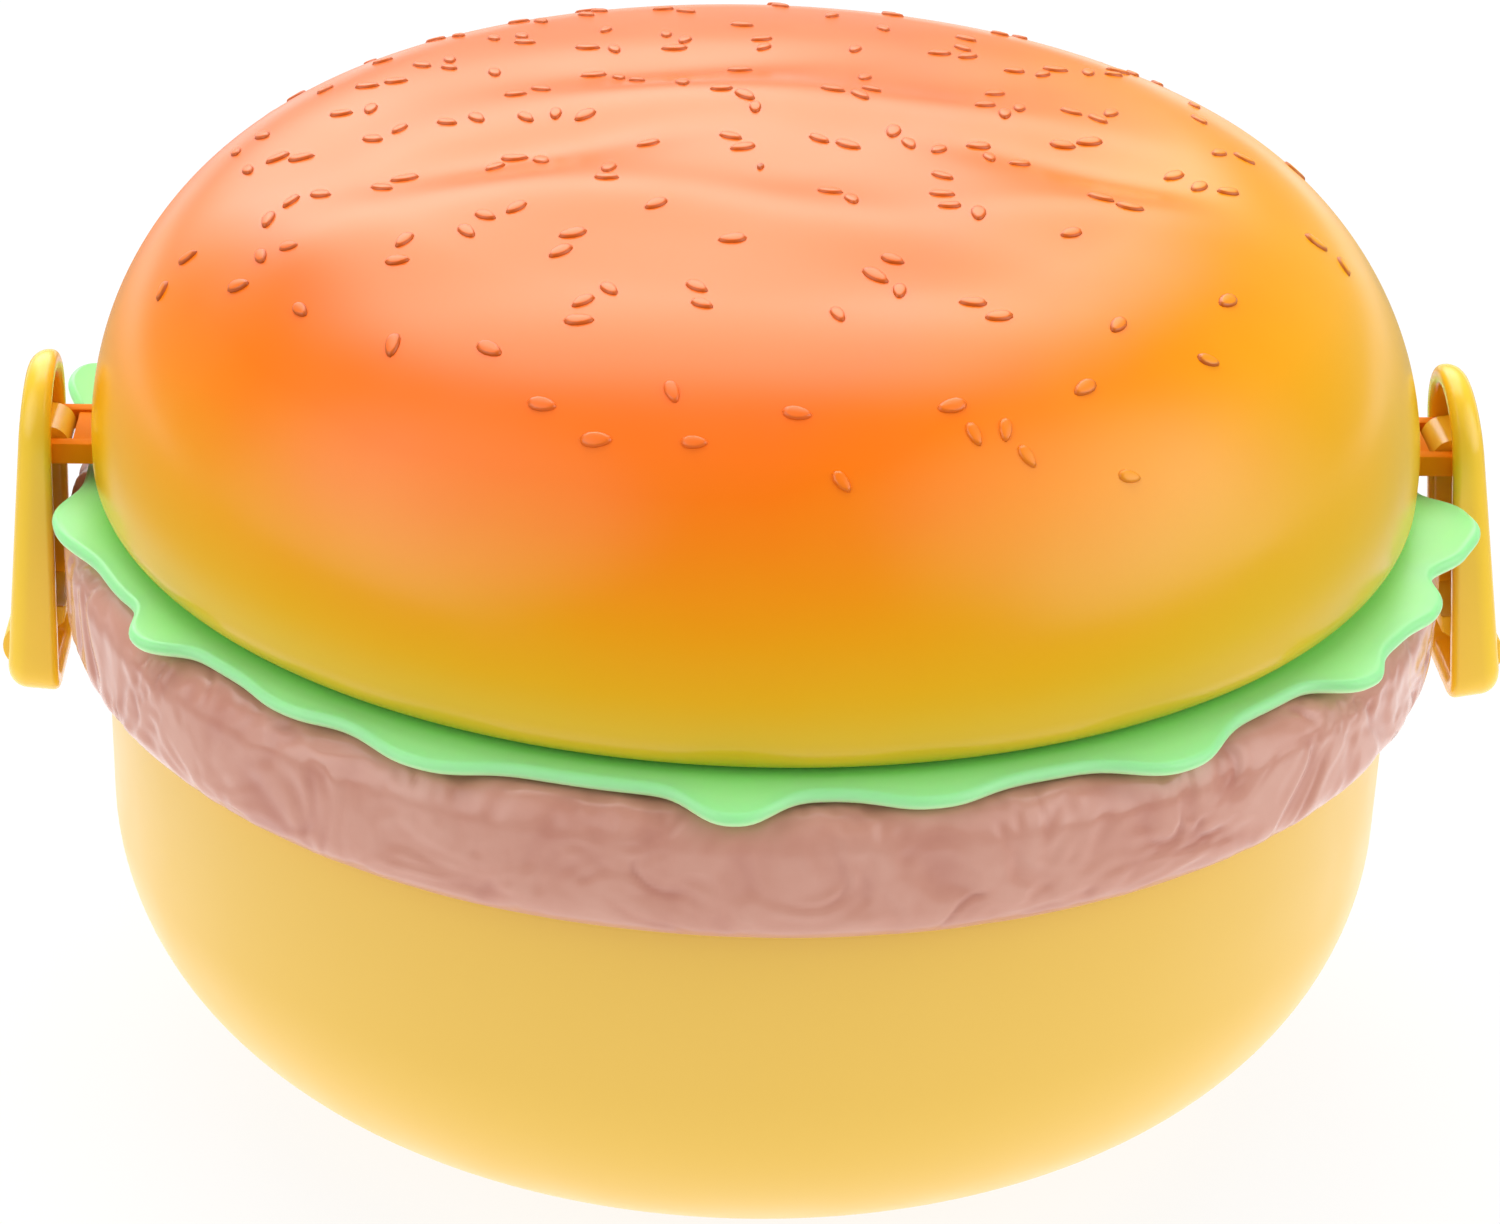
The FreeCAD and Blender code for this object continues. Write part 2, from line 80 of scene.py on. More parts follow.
# %% [markdown]
# ## From a grid of points to a mesh
# A turned or moulded piece can be made with Blender's Spin tool or a Screw modifier, but a formula keeps
# every size in one place and lets the relief depend on the position.
# Rows of the grid follow the section, columns run once round. A row that shrinks to one point is a pole,
# and its squares become triangles, so that the surface is closed and has no doubled points.
# Each point also carries a number, its mark, which a material can read to colour an edge or a rim.

# %% Grid helper
def grid_faces(points, ring):
    """Corner numbers of the faces of a grid whose columns meet again after one turn. With ring, the
    last row is joined to the first. Squares beside a pole row lose one corner."""
    rows, columns = points.shape[:2]
    ids = np.arange(rows * columns).reshape(rows, columns)
    pole = np.ptp(points, axis=1).max(axis=1) < 1e-6
    ids[pole] = ids[pole, :1]
    upper = ids if ring else ids[:-1]
    lower = np.roll(ids, -1, axis=0) if ring else ids[1:]
    squares = np.stack([upper, np.roll(upper, -1, 1), np.roll(lower, -1, 1), lower], -1).reshape(-1, 4)
    top_pole = squares[:, 0] == squares[:, 1]
    low_pole = squares[:, 2] == squares[:, 3]
    triangles = np.concatenate([squares[top_pole][:, [0, 2, 3]], squares[low_pole][:, [0, 1, 2]]])
    return squares[~(top_pole | low_pole)], triangles


def enclosed(points, squares, triangles):
    """Signed volume of a closed surface: the sum of the wedges from the origin to each triangle."""
    fans = np.concatenate([squares[:, [0, 1, 2]], squares[:, [0, 2, 3]], triangles])
    a, b, c = (points[fans[:, corner]] for corner in range(3))
    return np.einsum("ij,ij->i", a, np.cross(b, c)).sum() / 6


def make_piece(name, shells, sharp=35):
    """One object from closed grids in millimetres, each given as (points, ring, mark), faces outwards.
    Edges that turn by more than sharp degrees stay crisp. A mark is one number or one for each point."""
    vertices, faces, marks, start = [], [], [], 0
    for points, ring, mark in shells:
        squares, triangles = grid_faces(points, ring)
        flat = points.reshape(-1, 3)
        if enclosed(flat, squares, triangles) < 0:
            squares, triangles = squares[:, ::-1], triangles[:, ::-1]
        used, numbers = np.unique(np.concatenate([squares.ravel(), triangles.ravel()]), return_inverse=True)
        numbers = numbers.ravel() + start
        faces += numbers[: squares.size].reshape(-1, 4).tolist()
        faces += numbers[squares.size :].reshape(-1, 3).tolist()
        vertices.append(flat[used] * MM)
        marks.append(np.broadcast_to(mark, points.shape[:2]).reshape(-1)[used])
        start += len(used)
    mesh = bpy.data.meshes.new(name)
    mesh.from_pydata(np.concatenate(vertices).tolist(), [], faces)
    mesh.polygons.foreach_set("use_smooth", np.ones(len(mesh.polygons), bool))
    mesh.set_sharp_from_angle(angle=math.radians(sharp))
    column = mesh.attributes.new("mark", "FLOAT", "POINT")
    column.data.foreach_set("value", np.concatenate(marks).astype(np.float32))
    piece = bpy.data.objects.new(name, mesh)
    bpy.context.scene.collection.objects.link(piece)
    triangles = sum(len(face) - 2 for face in faces)
    print(f"{name}: {len(mesh.vertices)} points, {triangles} triangles")
    return piece


def arc(centre, radius, start, end, count):
    """Points of an arc in the section plane. Angles are in degrees from +r towards +z."""
    turn = np.radians(np.linspace(start, end, count))
    return np.stack([centre[0] + radius * np.cos(turn), centre[1] + radius * np.sin(turn)], -1)


def turn_section(section, columns):
    """Surface of revolution: every (r, z) of a section carried once round the Z axis."""
    angle = np.linspace(0, 2 * np.pi, columns, endpoint=False)
    radius, height = section[:, :1], section[:, 1:]
    return np.stack([radius * np.cos(angle), radius * np.sin(angle), height + 0 * angle], -1)


def outward(section, columns):
    """Unit normals of a turned section, whose points run clockwise seen with r to the right."""
    slope = np.gradient(section, axis=0)
    normal = np.stack([-slope[:, 1], slope[:, 0]], -1)
    return turn_section(normal / np.linalg.norm(normal, axis=1, keepdims=True), columns)


# %% [markdown]
# ## Plastic
# All the mouldings are dyed plastic with a satin or glossy skin, so one helper makes the shader.
# Colours are written as they look on a screen, from 0 to 255, and turned into Blender's linear values.
# No moulding is perfectly even: a soft noise on the object's own coordinates changes the gloss a little.

# %% Material helpers
# Size in mm of the patches of gloss, and the noise between which the gloss changes
GLOSS_PATCH = 12
GLOSS_EDGES = (0.3, 0.7)


def screen_colour(red, green, blue):
    """Linear colour of a screen colour: the usual curve, with a straight toe."""
    share = np.array([red, green, blue]) / 255
    linear = np.where(share <= 0.04045, share / 12.92, ((share + 0.055) / 1.055) ** 2.4)
    return (*linear.tolist(), 1.0)


class Wiring:
    """Short words for adding and joining nodes in the node tree of a material or a world."""

    def __init__(self, owner):
        self.tree = owner.node_tree

    def node(self, kind, **settings):
        """Add a node and set its properties."""
        made = self.tree.nodes.new("ShaderNode" + kind)
        for key, setting in settings.items():
            setattr(made, key, setting)
        return made

    def feed(self, socket, source):
        """Put a number, a colour or another node's socket into a socket."""
        if isinstance(source, (int, float, tuple)):
            socket.default_value = source
        else:
            self.tree.links.new(source, socket)

    def node_from(self, source, kind, **settings):
        """A node whose first input is fed by a socket."""
        made = self.node(kind, **settings)
        self.feed(made.inputs[0], source)
        return made

    def math(self, operation, first, second=0.0):
        """One sum on two numbers or sockets."""
        made = self.node_from(first, "Math", operation=operation)
        self.feed(made.inputs[1], second)
        return made.outputs[0]

    def place(self):
        """X, Y and Z of the point on the object, in metres."""
        return self.node_from(self.node("TexCoord").outputs["Object"], "SeparateXYZ").outputs

    def mark(self):
        """The number that the mesh carries at the point."""
        return self.node("Attribute", attribute_name="mark").outputs["Fac"]

    def spread(self, source, low, high, first=0.0, last=1.0):
        """A number that runs softly from first, at low, to last, at high, and stays there."""
        made = self.node_from(source, "MapRange", interpolation_type="SMOOTHSTEP")
        for name, number in (("From Min", low), ("From Max", high), ("To Min", first), ("To Max", last)):
            made.inputs[name].default_value = number
        return made.outputs[0]

    def ramp(self, source, stops):
        """A colour for each place along a number: stops are (place, screen colour)."""
        made = self.node_from(source, "ValToRGB")
        band = made.color_ramp.elements
        while len(band) < len(stops):
            band.new(0.5)
        for element, (spot, colour) in zip(band, stops):
            element.position = spot
            element.color = screen_colour(*colour)
        return made.outputs["Color"]

    def noise(self, size, detail=2.0):
        """Soft noise on the object's own coordinates, from 0 to 1. Size is in millimetres."""
        made = self.node_from(self.node("TexCoord").outputs["Object"], "TexNoise")
        made.inputs["Scale"].default_value = 1 / (size * MM)
        made.inputs["Detail"].default_value = detail
        return made.outputs[0]

    def blend(self, share, first, second):
        """A mix of two colours."""
        made = self.node("Mix", data_type="RGBA")
        for slot, source in ((0, share), (6, first), (7, second)):
            self.feed(made.inputs[slot], source)
        return made.outputs[2]


def new_plastic(name, colour, roughness, unevenness=0.06):
    """A plastic of one screen colour, with a gloss that changes a little over the piece.
    Gives the material, its wiring and its shader."""
    material = bpy.data.materials.new(name)
    material.use_nodes = True
    shader = material.node_tree.nodes["Principled BSDF"]
    shader.inputs["Base Color"].default_value = screen_colour(*colour)
    shader.inputs["IOR"].default_value = 1.5
    wire = Wiring(material)
    lowest, highest = roughness - unevenness / 2, roughness + unevenness / 2
    wire.feed(shader.inputs["Roughness"], wire.spread(wire.noise(GLOSS_PATCH), *GLOSS_EDGES, lowest, highest))
    return material, wire, shader


def dress(piece, material, body, slot, *nodes):
    """Give a piece its material and its moving body, and hide the CAD nodes it stands for. The slot is not
    used.
    """
    piece.data.materials.append(material)
    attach(piece, body)
    if nodes:
        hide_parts(*nodes)


# %% [markdown]
# ## The camera
# The photo looks down on the box from the front and a little from the left. The distance and the lens
# were found by fitting the outlines of the buns. The lens is shifted a little, because the photo was cropped.

# %% Camera
PHOTO_WIDTH = 1500
CAMERA_PLACE = (-22.5, -389.9, 243.4)
CAMERA_PITCH = 27.44
CAMERA_YAW = 2.94
CAMERA_ROLL = 1.76
FOCAL_PIXELS = 3944
PHOTO_MIDDLE = (750, 612)
LENS_AXIS = (725.5, 657.5)

lens = bpy.data.cameras.new("camera")
lens.sensor_width = 36
lens.lens = lens.sensor_width * FOCAL_PIXELS / PHOTO_WIDTH
lens.shift_x = (PHOTO_MIDDLE[0] - LENS_AXIS[0]) / PHOTO_WIDTH
lens.shift_y = (LENS_AXIS[1] - PHOTO_MIDDLE[1]) / PHOTO_WIDTH
lens.clip_start = 0.01
camera = bpy.data.objects.new("camera", lens)
bpy.context.scene.collection.objects.link(camera)
camera.matrix_world = (
    Matrix.Translation(Vector(CAMERA_PLACE) * MM)
    @ Matrix.Rotation(math.radians(-CAMERA_YAW), 4, "Z")
    @ Matrix.Rotation(math.radians(90 - CAMERA_PITCH), 4, "X")
    @ Matrix.Rotation(math.radians(CAMERA_ROLL), 4, "Z")
)
bpy.context.scene.camera = camera
print("lens", round(lens.lens, 1), "mm")

# %% [markdown]
# ## The upper bun
# The lid is a thin dome on a thick rim. Its outer face has shallow dents, like a real bun that has
# settled, so the section is turned first and then pushed in or out along its normal.
# Each dent or swelling is an oval bell curve with a place, a size, a turn and a height.

# %% Upper bun
lid_low, _ = node_box("top_bun_lid")
BUN_RADIUS = 71.0
RIM = lid_low[2]
RIM_ROUND = 3.9
SIDE_FOOT = RIM + RIM_ROUND
SIDE_TOP = SIDE_FOOT + 1.4
SHOULDER = 32.2
CROWN = 268.0
LID_WALL = 2.2
RIM_INNER = 63.5
SEAL_INNER = 64.7
SEAL_OUTER = 66.3
SEAL_GROOVE = 1.6
LID_COLUMNS = 360
SHOULDER_AXIS = BUN_RADIUS - SHOULDER
CROWN_AXIS = SIDE_TOP - math.sqrt((CROWN - SHOULDER) ** 2 - SHOULDER_AXIS ** 2)
MEETING = math.degrees(math.acos(SHOULDER_AXIS / (CROWN - SHOULDER)))

# Dents and swellings: place (x, y), half length and half width, turn in degrees, and height in mm
DENTS = [
    (-10, 15, 22, 7.0, 12, -0.9),
    (4, 3, 24, 6.5, -8, 1.0),
    (-25, -9, 18, 6.5, 18, -1.2),
    (-16, -22, 20, 6.5, -10, 0.9),
    (-46, -2, 13, 8.0, 60, -0.7),
    (-45, -24, 12, 7.0, -40, 0.6),
    (31, -9, 17, 6.5, -22, -1.2),
    (32, -22, 18, 6.0, 15, 1.0),
    (24, 14, 14, 8.0, 30, -0.6),
    (5, -15, 11, 7.0, 40, -0.6),
    (16, -40, 16, 6.5, 12, -0.7),
    (10, -31, 16, 6.0, -15, 0.6),
    (-27, -38, 20, 7.0, -14, -0.7),
    (48, 4, 14, 10.0, 90, 0.6),
    (-54, -22, 9, 7.0, 90, -0.6),
]


def dent_height(x, y):
    """Relief of the bun: the sum of oval bell curves, one for each dent."""
    height = np.zeros_like(x)
    for middle_x, middle_y, half_length, half_width, turn, rise in DENTS:
        ahead, aside = math.cos(math.radians(turn)), math.sin(math.radians(turn))
        along = ((x - middle_x) * ahead + (y - middle_y) * aside) / half_length
        over = ((y - middle_y) * ahead - (x - middle_x) * aside) / half_width
        height += rise * np.exp(-(along ** 2) - over ** 2)
    return height


def lid_dome(depth, count):
    """Section of the dome from the middle to the side, at a depth inside the outer face:
    a crown arc, then a shoulder arc that continues it smoothly."""
    crown = arc((0, CROWN_AXIS), CROWN - depth, 90, MEETING, count)
    shoulder = arc((SHOULDER_AXIS, SIDE_TOP), SHOULDER - depth, MEETING, 0, count)
    crown[0, 0] = 0
    return np.concatenate([crown, shoulder[1:]])


outer = lid_dome(0, 70)
rim = arc((BUN_RADIUS - RIM_ROUND, SIDE_FOOT), RIM_ROUND, 0, -90, 12)
groove_top = RIM + SEAL_GROOVE
under = [(SEAL_OUTER, RIM), (SEAL_OUTER, groove_top), (SEAL_INNER, groove_top), (SEAL_INNER, RIM)]
under += [(RIM_INNER, RIM), (RIM_INNER, SIDE_FOOT), (BUN_RADIUS - LID_WALL, SIDE_FOOT)]
lid_section = np.concatenate([outer, rim, under, lid_dome(LID_WALL, 24)[::-1]])
lid_points = turn_section(lid_section, LID_COLUMNS)
skin = lid_points[: len(outer)]
skin += outward(outer, LID_COLUMNS) * dent_height(skin[..., 0], skin[..., 1])[..., None]
upper_bun = make_piece("upper_bun", [(lid_points, False, 0)])

# %% [markdown]
# The bun is sprayed: yellow plastic with an orange coat that thickens with the height above the rim and
# thins towards the right and the far left. The material works out this thickness and looks its colour up
# in a ramp. A little noise keeps the spray from looking drawn with a ruler.

# %% Bun paint
# Heights and places are in metres, as the material reads them. Patches of noise are in mm
COAT_FOOT = 0.066
COAT_FULL = 0.030
FADE_START = -0.002
FADE_RATE = 10.5
LEFT_FADE_START = 0.040
LEFT_FADE_RATE = 5.0
SPRAY_MOTTLE = 0.0025
SPRAY_PATCH = 14
COAT_COLOURS = [
    (0.0, (226, 190, 30)),
    (0.1, (233, 190, 18)),
    (0.23, (243, 182, 4)),
    (0.4, (250, 169, 0)),
    (0.53, (254, 155, 0)),
    (0.67, (255, 138, 0)),
    (0.8, (255, 124, 0)),
    (1.0, (255, 116, 30)),
]


def sprayed_colour(wire):
    """Colour of the bun: height above the rim, less a share that grows to the sides, through a ramp."""
    across, _, height = wire.place()
    right = wire.math("MAXIMUM", wire.math("SUBTRACT", across, FADE_START))
    left = wire.math("MAXIMUM", wire.math("SUBTRACT", -LEFT_FADE_START, across))
    fade = wire.math("MULTIPLY", right, FADE_RATE)
    fade = wire.math("ADD", fade, wire.math("MULTIPLY", left, LEFT_FADE_RATE))
    rise = wire.math("SUBTRACT", height, COAT_FOOT)
    mottle = wire.math("MULTIPLY", wire.math("SUBTRACT", wire.noise(SPRAY_PATCH), 0.5), SPRAY_MOTTLE)
    coat = wire.math("ADD", wire.math("MULTIPLY", rise, wire.math("SUBTRACT", 1.0, fade)), mottle)
    return wire.ramp(wire.math("DIVIDE", coat, COAT_FULL), COAT_COLOURS)


bun_paint, wire, bun_shader = new_plastic("bun_paint", (250, 130, 30), roughness=0.24)
bun_shader.inputs["Specular IOR Level"].default_value = 0.4
wire.feed(bun_shader.inputs["Base Color"], sprayed_colour(wire))
dress(upper_bun, bun_paint, "lid", "lid_plastic", "top_bun_lid")

# %% [markdown]
# ## Sesame seeds
# The seeds are flat ovals in low relief, the same colour as the bun on top, with a darker colour round
# their steep sides, which is painted shade. This painted shade is weaker on the front shoulder. Each seed is
# a small cushion of a few dozen faces, set on the dome and turned at random.
# They lie in ones, twos and threes. Scattering these groups by a formula is quicker than by hand, and a fixed
# start for the random numbers gives the same seeds each time. Only the sparse ones on the front shoulder are
# placed one by one.

# %% Seeds
# Lengths are in mm and turns in radians
CLUSTER_TRIES = 700
CLUSTER_SPACING = 8.0
CLUSTER_STEP = 3.1
CLUSTER_TURN = 2.1
CLUSTER_SWAY = 0.9
SEED_REACH = 61.0
SEED_MARGIN = 6.0
SEED_THINNING = 26.0
SEED_LENGTH = 2.9
SEED_WIDTH = 1.5
SEED_SIZES = (0.85, 1.1)
SEED_TAPER = 0.2
SEED_COLUMNS = 12
SLOPE_STEP = 0.05
SHOULDER_EDGE = -46.0
# Places (x, y) of the seeds on the front shoulder
FRONT_SEEDS = [
    (-28, -47), (-23, -54), (-18, -58), (-11, -55), (-9, -59.5), (0.5, -57.5), (4.5, -62.5), (15, -55.5),
    (17, -57.5), (20, -56.5), (22, -58), (28, -50.5), (32, -56), (32, -42), (41, -42), (44, -33),
]
# The mark of the moulding gate, a small dark dot near the middle
GATE_PLACE = (-1.3, -15.8)
GATE_SIZE = 0.5
# Section of a seed: share of its outline, height above the bun in mm, and darkness of the painted shade
SEED_SECTION = [
    (0, 0.3, 0), (0.62, 0.3, 0.1), (0.84, 0.24, 0.8), (1.0, -0.02, 1), (0.9, -0.4, 1), (0, -0.4, 1),
]


def dome_height(radius):
    """Height of the plain dome at a distance from the middle."""
    crown = CROWN_AXIS + np.sqrt(CROWN ** 2 - radius ** 2)
    shoulder = SIDE_TOP + np.sqrt(np.maximum(SHOULDER ** 2 - (radius - SHOULDER_AXIS) ** 2, 0))
    return np.where(radius < CROWN * math.cos(math.radians(MEETING)), crown, shoulder)


def bun_point(place):
    """Point of the dented bun over places (x, y)."""
    x, y = place[:, 0], place[:, 1]
    return np.stack([x, y, dome_height(np.hypot(x, y)) + dent_height(x, y)], -1)


rng = np.random.default_rng(11)
clusters = [GATE_PLACE, *FRONT_SEEDS]
seed_places = [GATE_PLACE, *FRONT_SEEDS]
for _ in range(CLUSTER_TRIES):
    distance = SEED_REACH * math.sqrt(rng.uniform())
    turn = rng.uniform(0, 2 * np.pi)
    spot = (distance * math.cos(turn), distance * math.sin(turn))
    likely = rng.uniform() < min((SEED_REACH + SEED_MARGIN - distance) / SEED_THINNING, 1)
    apart = min(math.dist(spot, other) for other in clusters) > CLUSTER_SPACING
    if likely and apart and spot[1] > SHOULDER_EDGE:
        clusters.append(spot)
        seed_places.append(spot)
        for side in range(rng.integers(0, 3)):
            step = turn + CLUSTER_TURN * side + rng.uniform(0, CLUSTER_SWAY)
            beside = (CLUSTER_STEP * math.cos(step), CLUSTER_STEP * math.sin(step))
            seed_places.append((spot[0] + beside[0], spot[1] + beside[1]))
places = np.array(seed_places)
middle = bun_point(places)
along_x = bun_point(places + (SLOPE_STEP, 0)) - middle
along_y = bun_point(places + (0, SLOPE_STEP)) - middle
up = np.cross(along_x, along_y)
up /= np.linalg.norm(up, axis=1, keepdims=True)
heading = rng.uniform(0, np.pi, len(places))
ahead = np.stack([np.cos(heading), np.sin(heading), np.zeros_like(heading)], -1)
ahead -= up * np.einsum("ij,ij->i", ahead, up)[:, None]
ahead /= np.linalg.norm(ahead, axis=1, keepdims=True)
size = rng.uniform(*SEED_SIZES, (len(places), 1))
size[0] = GATE_SIZE

section = np.array(SEED_SECTION)
round_turn = np.linspace(0, 2 * np.pi, SEED_COLUMNS, endpoint=False)
taper = 1 + SEED_TAPER * np.cos(round_turn)
length = section[:, :1] * np.cos(round_turn) * SEED_LENGTH / 2
width = section[:, :1] * np.sin(round_turn) * taper * SEED_WIDTH / 2
local = np.stack([length, width, section[:, 1:2] + 0 * round_turn], -1)
axes = np.stack([ahead * size, np.cross(up, ahead) * size, up], 1)
seed_points = middle[:, None, None] + np.einsum("rck,nkx->nrcx", local, axes)
shells = [(points, False, section[:, 2:]) for points in seed_points]
shells[0] = (seed_points[0], False, 1)
seeds = make_piece("sesame_seeds", shells, 80)
print(len(places) - 1, "seeds")

# Where the painted shade round the seeds weakens towards the front, as Y in metres
FRONT_FADE = (-0.060, -0.042)
FRONT_STRENGTH = 0.3
# Colour of the painted shade round the seeds' sides, and the real colour of the gate mark
SEED_SHADE_AND_GATE_COLOUR = (190, 88, 0)
seed_paint, wire, seed_shader = new_plastic("seed_paint", (250, 140, 60), roughness=0.32)
_, depth, _ = wire.place()
strength = wire.spread(depth, *FRONT_FADE, FRONT_STRENGTH, 1.0)
dark = wire.math("MULTIPLY", wire.mark(), strength)
seed_colour = wire.blend(dark, sprayed_colour(wire), screen_colour(*SEED_SHADE_AND_GATE_COLOUR))
wire.feed(seed_shader.inputs["Base Color"], seed_colour)
dress(seeds, seed_paint, "lid", "lid_plastic")

# %% [markdown]
# ## Hinge brackets
# At each side the lid has a fork of two arms with a bar between them, moulded with it, on which the clip
# turns. Each part is an outline in the XZ plane carried along Y, with its ends closed to a point in the
# middle, which is what Extrude and a poke of the end face would give. The second bracket is the first
# turned half round, so both sides match.

# %% Brackets
PIVOT_OUT = 75.7
PIVOT = RIM + 2.8
BRACKET_HALF = 5.3
ARM = 1.5
ARM_ROUND = 1.2
ARM_ROOT = 69.4
WEB_END = 73.1
WEB_DROP = 0.3
BAR = 0.9
END_SHARE = 0.93


def prism(outline, low, high, bevel=0.15):
    """A closed bar: an outline of (x, z) carried along Y from low to high, a little smaller at its ends."""
    middle = np.repeat(outline.mean(axis=0, keepdims=True), len(outline), axis=0)
    small = middle + END_SHARE * (outline - middle)
    rows = [(middle, low), (small, low), (outline, low + bevel)]
    rows += [(outline, high - bevel), (small, high), (middle, high)]
    return np.stack([np.stack([row[:, 0], np.full(len(row), y), row[:, 1]], -1) for row, y in rows])


def turned_half(points):
    """The same points turned half round the Z axis."""
    return points * np.array([-1, -1, 1])


arm_end = arc((PIVOT_OUT, PIVOT), ARM_ROUND, -90, 90, 13)
arm_outline = np.concatenate([[(ARM_ROOT, PIVOT - ARM_ROUND)], arm_end, [(ARM_ROOT, PIVOT + ARM_ROUND)]])
web_low, web_high = PIVOT - ARM_ROUND, PIVOT + ARM_ROUND - WEB_DROP
web_outline = np.array([(ARM_ROOT, web_low), (WEB_END, web_low), (WEB_END, web_high), (ARM_ROOT, web_high)])
bar_outline = arc((PIVOT_OUT, PIVOT), BAR, 0, 345, 24)
parts = [
    prism(arm_outline, -BRACKET_HALF, -BRACKET_HALF + ARM),
    prism(arm_outline, BRACKET_HALF - ARM, BRACKET_HALF),
    prism(web_outline, -BRACKET_HALF + ARM, BRACKET_HALF - ARM),
    prism(bar_outline, -BRACKET_HALF + ARM / 2, BRACKET_HALF - ARM / 2),
]
shells = [(points, False, 0) for part in parts for points in (part, turned_half(part))]
brackets = make_piece("hinge_brackets", shells)
bracket_plastic, _, bracket_shader = new_plastic("bracket_plastic", (250, 146, 0), roughness=0.6)
bracket_shader.inputs["Specular IOR Level"].default_value = 0.08
dress(brackets, bracket_plastic, "lid", "lid_plastic")

# %% [markdown]
# ## The lettuce tray
# The leaf is the brim of a food tray. Its edge swings in and out, and each lobe lifts or droops a little.
# The section through the tray is the same all round, except that its outer end follows the edge, so the
# section's radius is stretched at each angle. The rim of the leaf is round, because a moulded leaf has
# no sharp edge.

# %% Lettuce
tray_low, tray_high = node_box("lettuce_tray")
BRIM_LOW = 62.7
BRIM_TOP = 64.2
BRIM_FLAT = 69.0
LEAF_RADIUS = 72.0
LEAF_HALF = 0.75
CUP = 63.0
TRAY_WALL = 1.6
FLOOR_ROUND = 5.0
SKIRT = 67.5
SKIRT_FOOT = 58.7
TRAY_COLUMNS = 720

LOBE_FULLNESS = 2.5
# Leaf lobes: middle (degrees), reach and lift (mm), half width (degrees)
LOBES = [
    (-167, 3.8, 0.8, 6.0),
    (-156, 0.8, 0.0, 4.0),
    (-147, 3.4, -0.2, 3.4),
    (-131, 1.0, -0.2, 4.0),
    (-118, 1.8, -0.5, 5.0),
    (-94, 3.4, -0.8, 3.5),
    (-79, 1.7, -0.4, 4.5),
    (-59, 3.2, -0.6, 5.0),
    (-39, 3.8, -0.3, 3.2),
    (-33, 2.6, 0.0, 4.5),
    (-25, 4.2, 0.0, 4.5),
    (-15, 4.8, 0.6, 4.0),
    (-9.5, 4.6, 1.0, 3.7),
    (14, 4.6, 1.6, 5.5),
    (34, 3.2, 0.2, 6.0),
    (60, 2.8, -0.5, 5.0),
    (88, 3.3, -0.3, 4.0),
    (108, 2.4, -0.6, 5.0),
    (128, 3.0, -0.2, 5.0),
    (146, 2.8, 0.4, 6.0),
    (167, 5.5, 3.0, 5.5),
]


def leaf_edge(angle):
    """Radius and lift of the leaf's edge: the plain radius plus one bell curve for each lobe."""
    reach, lift = np.full_like(angle, LEAF_RADIUS), np.zeros_like(angle)
    for middle, out, rise, half in LOBES:
        away = (np.degrees(angle) - middle + 180) % 360 - 180
        bell = np.exp(-(np.abs(away / half) ** LOBE_FULLNESS))
        reach += out * bell
        lift += rise * bell
    return reach, lift


angle = np.linspace(0, 2 * np.pi, TRAY_COLUMNS, endpoint=False)
edge, lift = leaf_edge(angle)
floor = tray_low[2] + TRAY_WALL
lip = tray_high[2]
inner_round = FLOOR_ROUND - TRAY_WALL
turn_radius = CUP - FLOOR_ROUND
inside = np.concatenate([
    [(0, floor)],
    arc((turn_radius, floor + inner_round), inner_round, -90, 0, 10),
    [(CUP - TRAY_WALL, lip), (CUP, lip), (CUP, BRIM_TOP), (BRIM_FLAT, BRIM_TOP)],
])
outside = np.concatenate([
    [(BRIM_FLAT, BRIM_LOW), (SKIRT, BRIM_LOW), (SKIRT, SKIRT_FOOT), (SKIRT - TRAY_WALL, SKIRT_FOOT)],
    [(SKIRT - TRAY_WALL, BRIM_LOW), (CUP, BRIM_LOW)],
    arc((turn_radius, floor + inner_round), FLOOR_ROUND, 0, -90, 10),
    [(0, floor - TRAY_WALL)],
])
share = np.linspace(0, 1, 18)[1:, None]
sheet_radius = BRIM_FLAT + share * (edge - LEAF_HALF - BRIM_FLAT)
sheet_lift = lift * share ** 1.5
edge_turn = np.linspace(90, -90, 11)[1:-1, None]
middle_height = (BRIM_TOP + BRIM_LOW) / 2
leaf_radius = np.concatenate([
    sheet_radius,
    edge - LEAF_HALF + LEAF_HALF * np.cos(np.radians(edge_turn)),
    sheet_radius[::-1],
])
leaf_height = np.concatenate([
    BRIM_TOP + sheet_lift,
    middle_height + lift + LEAF_HALF * np.sin(np.radians(edge_turn)),
    BRIM_LOW + sheet_lift[::-1],
])
leaf = np.stack([leaf_radius * np.cos(angle), leaf_radius * np.sin(angle), leaf_height], -1)
tray_points = np.concatenate([turn_section(inside, TRAY_COLUMNS), leaf, turn_section(outside, TRAY_COLUMNS)])

# The mark is 0 on the cup. It starts at BRIM_MARK under the bun, is RIM_MARK at the rim and runs on round the
# rim to 1 at its lower edge
BRIM_MARK = 0.06
RIM_MARK = 0.7
UNDER_MARK = 0.4
RIM_SWEEP = 150
rim_mark = np.clip(RIM_MARK + (1 - RIM_MARK) * (90 - edge_turn) / RIM_SWEEP, 0, 1)
sheet_mark = BRIM_MARK + (RIM_MARK - BRIM_MARK) * share
brim_mark = np.full((2, 1), BRIM_MARK)
under_mark = np.full_like(share, UNDER_MARK)
leaf_mark = np.concatenate([brim_mark, sheet_mark, rim_mark, under_mark])
tray_mark = np.concatenate([np.zeros((len(inside) - 2, 1)), leaf_mark, np.zeros((len(outside), 1))])
tray = make_piece("lettuce", [(tray_points, False, tray_mark)])
